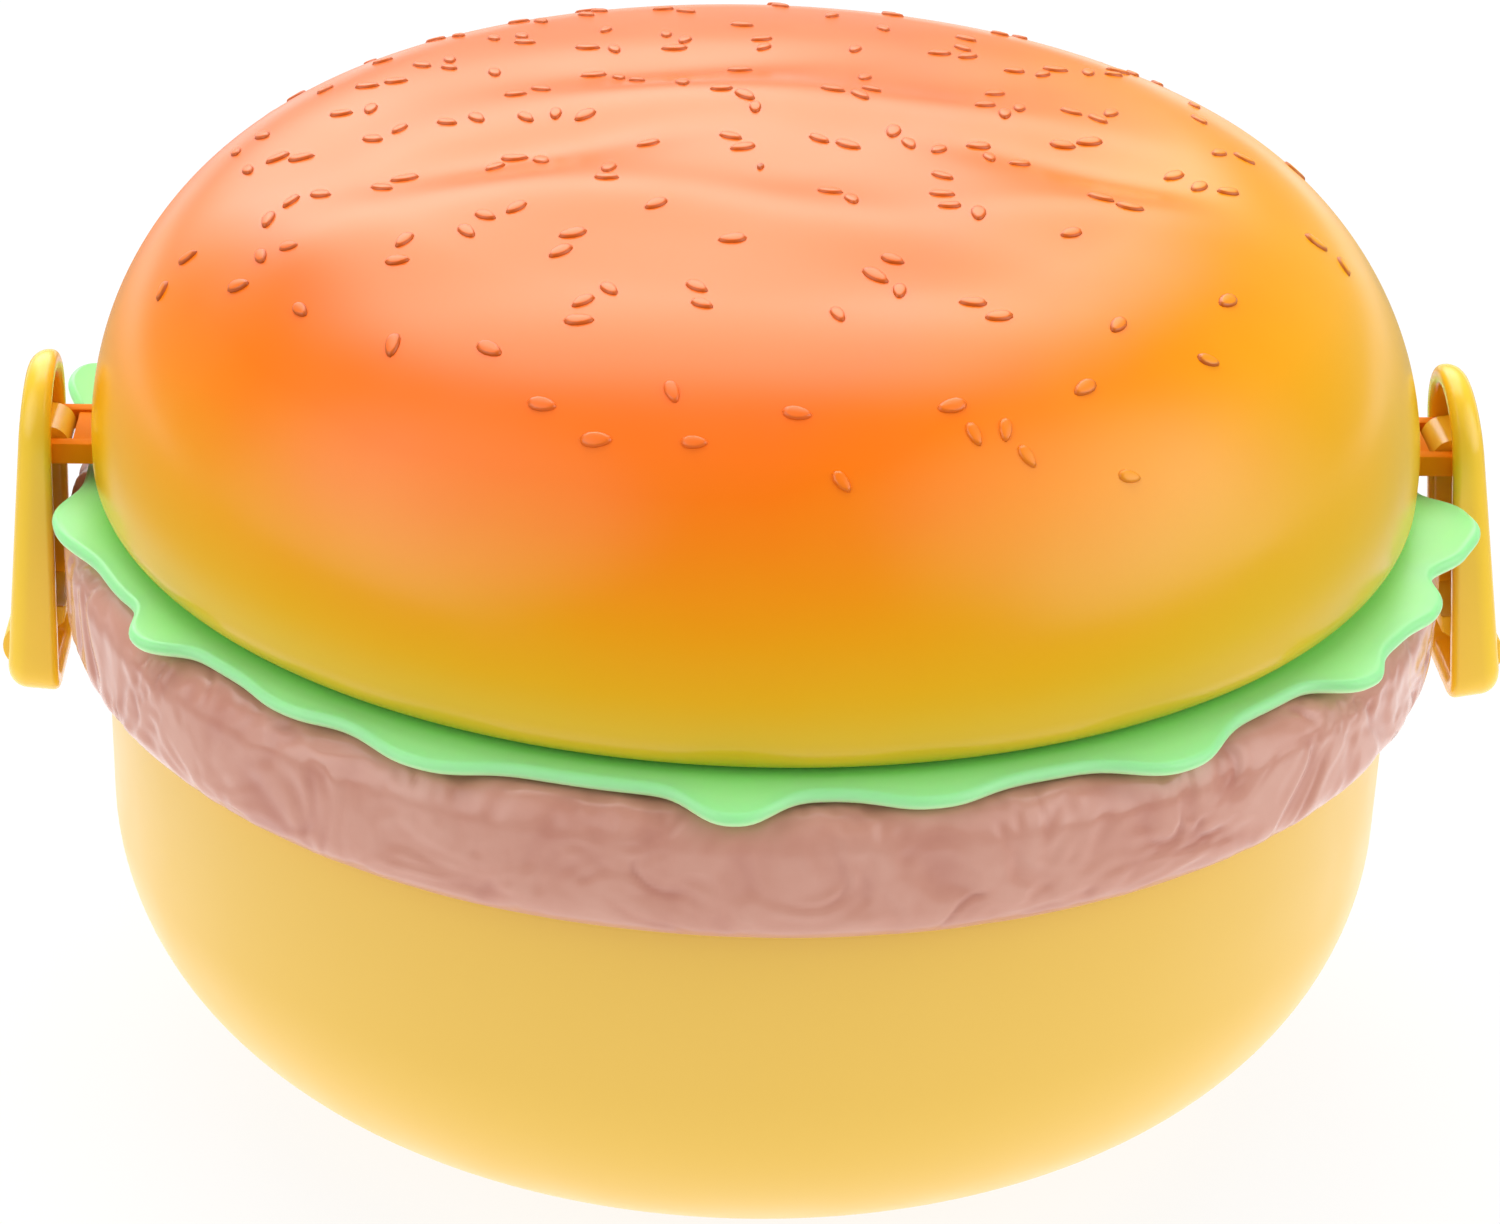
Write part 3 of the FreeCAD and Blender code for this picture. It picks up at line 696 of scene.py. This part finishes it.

# %% [markdown]
# The leaf is dyed plastic that lets a little light through. Near the bun it is a clear green. Towards the
# thick round rim it turns to mint, a painted sheen, and along the lower edge to a pale yellow green, a
# painted highlight. The mark on the mesh says how far along this way a point is. The cup of the tray, where
# the mark is 0, is a plain leaf green.

# %% Lettuce colour
# Leaf greens, with a painted sheen of mint on the round rim and a painted highlight of pale yellow green
# along its lower edge
LEAF_COLOURS_AND_RIM_SHEEN = [
    (0.0, (122, 210, 112)),
    (0.05, (150, 255, 132)),
    (0.25, (162, 255, 150)),
    (0.5, (164, 251, 158)),
    (0.74, (156, 242, 162)),
    (0.88, (168, 242, 168)),
    (1.0, (218, 250, 186)),
]
lettuce_plastic, wire, lettuce_shader = new_plastic("lettuce_plastic", (130, 222, 114), roughness=0.34)
lettuce_shader.inputs["Subsurface Weight"].default_value = 0.4
lettuce_shader.inputs["Subsurface Radius"].default_value = (0.5, 1.0, 0.5)
lettuce_shader.inputs["Subsurface Scale"].default_value = 0.002
wire.feed(lettuce_shader.inputs["Base Color"], wire.ramp(wire.mark(), LEAF_COLOURS_AND_RIM_SHEEN))
dress(tray, lettuce_plastic, "tray", "lettuce_plastic", "lettuce_tray")

# %% [markdown]
# ## The patty
# The patty is a ring with fat round edges and a wrinkled skin like grilled mince. In Blender such a skin
# could be sculpted. Here it is a sum of waves that run in random directions through space, so it has no grain
# and no seam. Three sizes of them make soft lumps. A crease is cut where a fourth one crosses zero, in the
# patches that a fifth one picks. All of them are read at points pushed a little aside, which bends the waves.
# The lumps are flattened on top, so the clips still pass, and fade out where the ring sits on the bowl.

# %% Patty
patty_low, patty_high = node_box("patty_collar")
PATTY_RADIUS = patty_high[1]
PATTY_ROUND = 4.0
COLLAR_INNER = 69.45
PATTY_COLUMNS = 1200
# Size and height of the lumps in mm
LUMPS = [(8.0, 0.11), (4.0, 0.05), (2.2, 0.035)]
LUMP_LIMIT = 0.1
# Creases, in mm, apart from the width, which is a height of the fourth wave
CREASE_DEPTH = 0.24
CREASE_SIZE = 9.0
CREASE_WIDTH = 0.4
CREASE_PATCH = 13.0
BEND = 1.6
BEND_SIZE = 15.0
WAVES = 24
SEAT_GAP = 0.3
SEAT_FADE = (2.0, 3.0)
shoulder = PATTY_RADIUS - PATTY_ROUND
side = np.linspace(patty_high[2] - PATTY_ROUND, patty_low[2] + PATTY_ROUND, 18)[1:-1]
patty_section = np.concatenate([
    [(COLLAR_INNER, patty_high[2])],
    arc((shoulder, patty_high[2] - PATTY_ROUND), PATTY_ROUND, 90, 0, 18),
    np.stack([np.full_like(side, PATTY_RADIUS), side], -1),
    arc((shoulder, patty_low[2] + PATTY_ROUND), PATTY_ROUND, 0, -90, 18),
    [(COLLAR_INNER, patty_low[2])],
])


def wave_field(points, size, chance):
    """Random relief of one size at points in space: the sum of plane waves in random directions, with a
    usual height of 1."""
    aim = chance.normal(size=(WAVES, 3))
    aim *= 2 * np.pi / (size * np.linalg.norm(aim, axis=1, keepdims=True))
    return np.sin(points @ aim.T + chance.uniform(0, 2 * np.pi, WAVES)).sum(axis=-1) / math.sqrt(WAVES / 2)


patty_points = turn_section(patty_section, PATTY_COLUMNS)
chance = np.random.default_rng(5)
bent = patty_points + BEND * np.stack([wave_field(patty_points, BEND_SIZE, chance) for _ in range(3)], -1)
lumps = sum(height * wave_field(bent, size, chance) for size, height in LUMPS)
crease = np.exp(-((wave_field(bent, CREASE_SIZE, chance) / CREASE_WIDTH) ** 2))
crease *= np.clip(wave_field(bent, CREASE_PATCH, chance), 0, 1)
relief = np.minimum(lumps - CREASE_DEPTH * crease, LUMP_LIMIT)
fade = np.clip((patty_section[:, :1] - COLLAR_INNER - SEAT_GAP) / SEAT_FADE[0], 0, 1)
fade = fade * np.clip((patty_section[:, 1:] - patty_low[2] - SEAT_GAP) / SEAT_FADE[1], 0, 1)
patty_points += outward(patty_section, PATTY_COLUMNS) * (relief * fade)[..., None]
# The mark is painted shade and light: higher on the lumps, lower in the creases, and the patty's colour
# follows it
MARK_LEVEL = 0.6
CREASE_SHADE = 0.4
relief_shade_mark = np.clip(MARK_LEVEL + lumps - CREASE_SHADE * crease, 0, 1)
patty = make_piece("patty", [(patty_points, True, relief_shade_mark)], 80)

# %% [markdown]
# The patty's plastic is a pinkish brown with blotches. Through the mark it is painted darker and redder in
# the creases and hollows and lighter on the lumps, which is painted shade and light. Two sizes of noise make
# the blotches, and the mark carries the relief. The fat lower edge is a little pinker.

# %% Patty colour
# Colours from dark to light, over the blotches and the painted shade and light of the relief
PATTY_COLOURS_AND_RELIEF_SHADE = [(0.25, (190, 124, 107)), (0.5, (208, 149, 130)), (0.75, (218, 165, 147))]
# Blotches are in mm. The weights say how much each noise and the mark count; the mark paints shade and light
# from the relief
BROAD_BLOTCH = 14
BROAD_WEIGHT = 0.4
FINE_BLOTCH = 4
FINE_WEIGHT = 0.25
RELIEF_SHADE_WEIGHT = 0.32
PINK = (226, 172, 156)
PINK_SHARE = 0.6
# Heights in metres between which the pink ends
PINK_HEIGHTS = (0.0482, 0.0505)
patty_plastic, wire, patty_shader = new_plastic(
    "patty_plastic", (203, 145, 126), roughness=0.19, unevenness=0.08
)
broad = wire.math("MULTIPLY", wire.noise(BROAD_BLOTCH, 3), BROAD_WEIGHT)
fine = wire.math("MULTIPLY", wire.noise(FINE_BLOTCH, 3), FINE_WEIGHT)
blotch_and_shade = wire.math("ADD", wire.math("ADD", broad, fine), wire.math("MULTIPLY", wire.mark(), RELIEF_SHADE_WEIGHT))
_, _, height = wire.place()
pink = wire.spread(height, *PINK_HEIGHTS, PINK_SHARE, 0.0)
skin_colour = wire.blend(pink, wire.ramp(blotch_and_shade, PATTY_COLOURS_AND_RELIEF_SHADE), screen_colour(*PINK))
wire.feed(patty_shader.inputs["Base Color"], skin_colour)
dress(patty, patty_plastic, "base", "patty_plastic", "patty_collar")

# %% [markdown]
# ## The lower bun
# The bowl is a plain turned shape: a flat foot, a belly arc and a tighter arc that runs into the wall. A
# step near the top carries the patty. The plastic is a plain satin yellow, so the material is one colour
# with the soft change of gloss that every moulding has.

# %% Bowl
_, bowl_high = node_box("bottom_bun_bowl")
BOWL_RADIUS = bowl_high[0]
BOWL_WALL = 2.4
BOWL_COLUMNS = 256
FOOT = 34.0
BELLY = 53.0
CORNER = 26.5
NECK = 69.4
STEP = patty_low[2]
corner_axis = BOWL_RADIUS - CORNER
wall_foot = BELLY - math.sqrt((BELLY - CORNER) ** 2 - (corner_axis - FOOT) ** 2)
bowl_meeting = math.degrees(math.atan2(wall_foot - BELLY, corner_axis - FOOT))


def bowl_curve(depth, count):
    """Section of the bowl from the foot to the wall, at a depth inside the outer face."""
    belly = arc((FOOT, BELLY), BELLY - depth, -90, bowl_meeting, count)
    corner = arc((corner_axis, wall_foot), CORNER - depth, bowl_meeting, 0, count)
    return np.concatenate([belly, corner[1:]])


bowl_section = np.concatenate([
    [(0, 0)],
    bowl_curve(0, 24),
    [(BOWL_RADIUS, STEP), (NECK, STEP), (NECK, bowl_high[2]), (BOWL_RADIUS - BOWL_WALL, bowl_high[2])],
    bowl_curve(BOWL_WALL, 24)[::-1],
    [(0, BOWL_WALL)],
])
bowl = make_piece("bowl", [(turn_section(bowl_section, BOWL_COLUMNS), False, 0)])
bowl_plastic, _, _ = new_plastic("bowl_plastic", (235, 191, 76), roughness=0.31)
dress(bowl, bowl_plastic, "base", "bowl_plastic", "bottom_bun_bowl")

# %% [markdown]
# ## The clips
# Each clip is a hollow lever with an arched top and a rounded foot, open towards the box. It turns on the bar
# of its bracket with a knuckle that is open below, and hooks under the patty with a small nose. A ridge
# outside is for the finger.
# The lever is one grid: its outline is carried from the outer face over a round edge, down the side, round
# the thick rim and back into the hollow. It is drawn upright about the hinge axis, then leaned outwards and
# set on the bar. The left clip is turned half round.

# %% Clips
CLIP_HALF = 8.0
CLIP_TOP = 9.1
CLIP_BOTTOM = -28.5
CLIP_OUTER = 3.0
CLIP_EDGE = 2.2
CLIP_WALL = 2.2
CLIP_FOOT_ROUND = 4.0
HOLLOW_BACK = 1.5
BURIED = 2.25
RIM_BOTTOM = -2.8
RIM_SOFT = 0.8
CLIP_MIDDLE = (0.0, -10.0)
KNUCKLE = 2.2
BORE = 1.0
MOUTH = 0.72
KNUCKLE_HALF = 3.2
NOSE = [(BURIED, -18.5), (-2.65, -18.5), (-2.65, -20.5), (BURIED, -25.0)]
NOSE_HALF = 4.3
NOSE_BEVEL = 0.3
RIDGE_MIDDLE = (0.8, -23.5)
RIDGE_RADIUS = 3.0
RIDGE_HALF = 5.0
RIDGE_BEVEL = 0.5
CLIP_LEANS = {"left_clip": 5.4, "right_clip": 10.2}


def clip_outline(inset):
    """Outline (y, z) of the lever, inset by a wall: an arch over two straight sides and a foot with round
    corners. Every inset has the same number of points."""
    half, corner = CLIP_HALF - inset, CLIP_FOOT_ROUND - inset
    foot = CLIP_BOTTOM + inset + corner
    arch = arc((0, CLIP_TOP - CLIP_HALF), half, 0, 180, 33)
    left = np.stack([np.full(14, -half), np.linspace(CLIP_TOP - CLIP_HALF, foot, 16)[1:-1]], -1)
    low_left = arc((corner - half, foot), corner, 180, 270, 11)
    low_right = arc((half - corner, foot), corner, 270, 360, 11)
    return np.concatenate([arch, left, low_left, low_right, left[::-1] * (-1, 1)])


def clip_row(inset, depth, from_rim=0.0):
    """One row of the lever: its outline at an inset, at a depth x. The share from_rim moves it to the rim,
    which leans inwards towards the foot."""
    outline = clip_outline(inset)
    rim = RIM_BOTTOM * (CLIP_TOP - outline[:, 1]) / (CLIP_TOP - CLIP_BOTTOM)
    return np.column_stack([depth + from_rim * rim, outline])


def clip_lever():
    """Rows of the lever from the middle of its outer face to the middle of the hollow's back."""
    count = len(clip_outline(0))
    edge = np.radians(np.linspace(0, 90, 9))
    soft = np.radians(np.linspace(0, 90, 7))
    rows = [np.tile((CLIP_OUTER, *CLIP_MIDDLE), (count, 1))]
    side = CLIP_OUTER - CLIP_EDGE
    rows += [clip_row(CLIP_EDGE * (1 - math.sin(t)), side + CLIP_EDGE * math.cos(t)) for t in edge]
    rows += [clip_row(RIM_SOFT * (1 - math.cos(t)), RIM_SOFT * (1 - math.sin(t)), 1.0) for t in soft]
    inner = CLIP_WALL - RIM_SOFT
    rows += [clip_row(inner + RIM_SOFT * math.sin(t), RIM_SOFT * (1 - math.cos(t)), 1.0) for t in soft]
    rows += [clip_row(CLIP_WALL, HOLLOW_BACK), np.tile((HOLLOW_BACK, *CLIP_MIDDLE), (count, 1))]
    return np.stack(rows)


def clip_knuckle():
    """The knuckle: a band carried round the bore from one side of its mouth to the other, square towards
    the lever and round on the other side, closed to a point in the middle of each end."""
    gape = math.degrees(math.asin(MOUTH / BORE))
    square, rounded = np.radians(np.linspace(gape - 90, 90, 12)), np.linspace(0, 1, 16)[1:]
    far = 1 / np.maximum(np.cos(square) / BURIED, np.abs(np.sin(square)) / KNUCKLE)
    outer_end = 270 - math.degrees(math.asin(MOUTH / KNUCKLE))
    inner_turn = np.concatenate([square[:1], square, np.radians(90 + rounded * (180 - gape))])
    outer_turn = np.radians(90 + rounded * (outer_end - 90))
    outer = np.concatenate([
        [(MOUTH, -KNUCKLE)],
        far[:, None] * np.stack([np.cos(square), np.sin(square)], -1),
        KNUCKLE * np.stack([np.cos(outer_turn), np.sin(outer_turn)], -1),
    ])
    inner = BORE * np.stack([np.cos(inner_turn), np.sin(inner_turn)], -1)
    sides = ((outer, -1), (outer, 1), (inner, 1), (inner, -1))
    band = np.stack([np.insert(row, 1, side * KNUCKLE_HALF, axis=1) for row, side in sides], 1)
    ends = band[[0, -1]].mean(axis=1, keepdims=True).repeat(4, axis=1)
    return np.concatenate([ends[:1], band, ends[1:]])


def hung(points, lean):
    """Points drawn upright about the hinge axis, leaned outwards by an angle and set on the right bar."""
    turn = math.radians(lean)
    x, y, z = np.moveaxis(points, -1, 0)
    out = PIVOT_OUT + x * math.cos(turn) - z * math.sin(turn)
    return np.stack([out, y, PIVOT + x * math.sin(turn) + z * math.cos(turn)], -1)


ridge_end = math.degrees(math.acos((BURIED - RIDGE_MIDDLE[0]) / RIDGE_RADIUS))
ridge_outline = arc(RIDGE_MIDDLE, RIDGE_RADIUS, -ridge_end, ridge_end, 15)
clip_parts = [
    clip_lever(),
    clip_knuckle(),
    prism(np.array(NOSE), -NOSE_HALF, NOSE_HALF, NOSE_BEVEL),
    prism(ridge_outline, -RIDGE_HALF, RIDGE_HALF, RIDGE_BEVEL),
]
clip_plastic, _, _ = new_plastic("clip_plastic", (255, 210, 54), roughness=0.22)
for node, lean in CLIP_LEANS.items():
    placed = [hung(part, lean) for part in clip_parts]
    if node == "left_clip":
        placed = [turned_half(part) for part in placed]
    clip = make_piece(node + "_shape", [(points, False, 0) for points in placed], 40)
    dress(clip, clip_plastic, node + "_body", "clip_plastic", node)

# %% [markdown]
# ## The seal
# The seal is a soft pale ring in a groove under the lid's rim. It is simple enough for the CAD solid to show
# it, so it keeps its mesh and only gets a material, a matt rubber.

# %% Seal
seal_rubber, _, _ = new_plastic("seal_rubber", (235, 235, 228), roughness=0.5)
seal_mesh = frame["nodes"]["seal_ring"].data
seal_mesh.materials.clear()
seal_mesh.materials.append(seal_rubber)
print("seal:", seal_rubber.name)

# %% [markdown]
# ## Floor and light
# The photo was taken on a bright white table, with a broad soft light above and behind, a weaker one at
# each side of the camera, a fill from the far left and right, and dim on the camera's own side. So the top
# of the bun shines, its front keeps a full colour, and the bowl is lit from below.
# Here the world is the light: its brightness is a sum of soft patches, each a function of the direction.
# The camera sees it as plain white. The floor glows like the table round the box, dims further out, is bright
# again far behind it, and still takes a faint shadow.

# %% Floor and world
FLOOR_SHARE = 0.85
FLOOR_NEAR = 1.35
FLOOR_FAR = 0.2
FLOOR_FADE = (0.11, 0.28)
FLOOR_BACK = 1.0
FLOOR_RISE = (0.3, 0.7)
# Brightness of each patch of the world, where 1 is white, and the directions between which it fades
DIM_LIGHT = 0.24
BACK_LIGHT = 0.2
BACK_FADE = (0.3, 0.9)
WINDOW_LIGHT = 3.1
WINDOW_DEPTHS = (-0.1, 0.3)
WINDOW_HEIGHTS = (0.08, 0.58)
WINDOW_WIDTHS = (0.3, 0.67)
WINDOW_SHIFT = 0.05
WINDOW_TILT = -0.3
SIDE_LIGHT = 1.3
SIDE_AIM = (0.73, -0.43, 0.53)
SIDE_FADE = (0.8, 0.97)
LEFT_FILL = 1.2
RIGHT_FILL = 1.7
FILL_INNER = 0.55
FILL_OUTER = 0.95
FILL_DEPTHS = (-0.1, 0.4)

bpy.ops.mesh.primitive_plane_add(size=6)
ground = bpy.context.object
ground.name = "floor"
floor_paint = bpy.data.materials.new("floor_paint")
floor_paint.use_nodes = True
floor_shader = floor_paint.node_tree.nodes["Principled BSDF"]
floor_shader.inputs["Base Color"].default_value = screen_colour(250, 250, 250)
floor_shader.inputs["Roughness"].default_value = 0.9
wire = Wiring(floor_paint)
glow = wire.node("Emission")
seen = wire.node("LightPath").outputs["Is Camera Ray"]
distance = wire.node_from(wire.node("TexCoord").outputs["Object"], "VectorMath", operation="LENGTH")
_, behind, _ = wire.place()
table = wire.spread(distance.outputs["Value"], *FLOOR_FADE, FLOOR_NEAR, FLOOR_FAR)
table = wire.math("ADD", table, wire.spread(behind, *FLOOR_RISE, 0.0, FLOOR_BACK))
unseen = wire.math("MULTIPLY", table, wire.math("SUBTRACT", 1.0, seen))
wire.feed(glow.inputs["Strength"], wire.math("MAXIMUM", seen, unseen))
mixed = wire.node("MixShader")
wire.feed(mixed.inputs[0], FLOOR_SHARE)
wire.feed(mixed.inputs[1], floor_shader.outputs[0])
wire.feed(mixed.inputs[2], glow.outputs[0])
wire.feed(floor_paint.node_tree.nodes["Material Output"].inputs["Surface"], mixed.outputs[0])
ground.data.materials.append(floor_paint)

world = bpy.data.worlds.new("tent")
bpy.context.scene.world = world
world.use_nodes = True
wire = Wiring(world)
across, depth, height = wire.node_from(wire.node("TexCoord").outputs["Generated"], "SeparateXYZ").outputs
aside = wire.math("ABSOLUTE", across)
back = wire.spread(depth, *BACK_FADE, DIM_LIGHT, DIM_LIGHT + BACK_LIGHT)
raised = wire.math("ADD", height, wire.math("MULTIPLY", across, WINDOW_TILT))
window = wire.spread(depth, *WINDOW_DEPTHS, 0.0, WINDOW_LIGHT)
window = wire.math("MULTIPLY", window, wire.spread(raised, *WINDOW_HEIGHTS))
off_middle = wire.math("ABSOLUTE", wire.math("ADD", across, WINDOW_SHIFT))
window = wire.math("MULTIPLY", window, wire.spread(off_middle, *WINDOW_WIDTHS, 1.0, 0.0))
parts = [wire.math("MULTIPLY", axis, share) for axis, share in zip((aside, depth, height), SIDE_AIM)]
towards = wire.math("ADD", wire.math("ADD", parts[0], parts[1]), parts[2])
beside = wire.spread(towards, *SIDE_FADE, 0.0, SIDE_LIGHT)
fill = wire.spread(across, FILL_INNER, FILL_OUTER, 0.0, RIGHT_FILL)
fill = wire.math("ADD", fill, wire.spread(across, -FILL_OUTER, -FILL_INNER, LEFT_FILL, 0.0))
fill = wire.math("MULTIPLY", fill, wire.spread(depth, *FILL_DEPTHS, 1.0, 0.0))
level = wire.math("ADD", wire.math("ADD", back, window), wire.math("ADD", beside, fill))
seen = wire.node("LightPath").outputs["Is Camera Ray"]
shown = wire.math("ADD", level, wire.math("MULTIPLY", seen, wire.math("SUBTRACT", 1.0, level)))
background = world.node_tree.nodes["Background"]
background.inputs["Color"].default_value = (1, 1, 1, 1)
wire.feed(background.inputs["Strength"], shown)
print("floor and world")

# %% [markdown]
# ## Colour view
# The colours are shown through Blender's Standard view transform.

# %% Colour view
bpy.context.scene.view_settings.view_transform = "Standard"
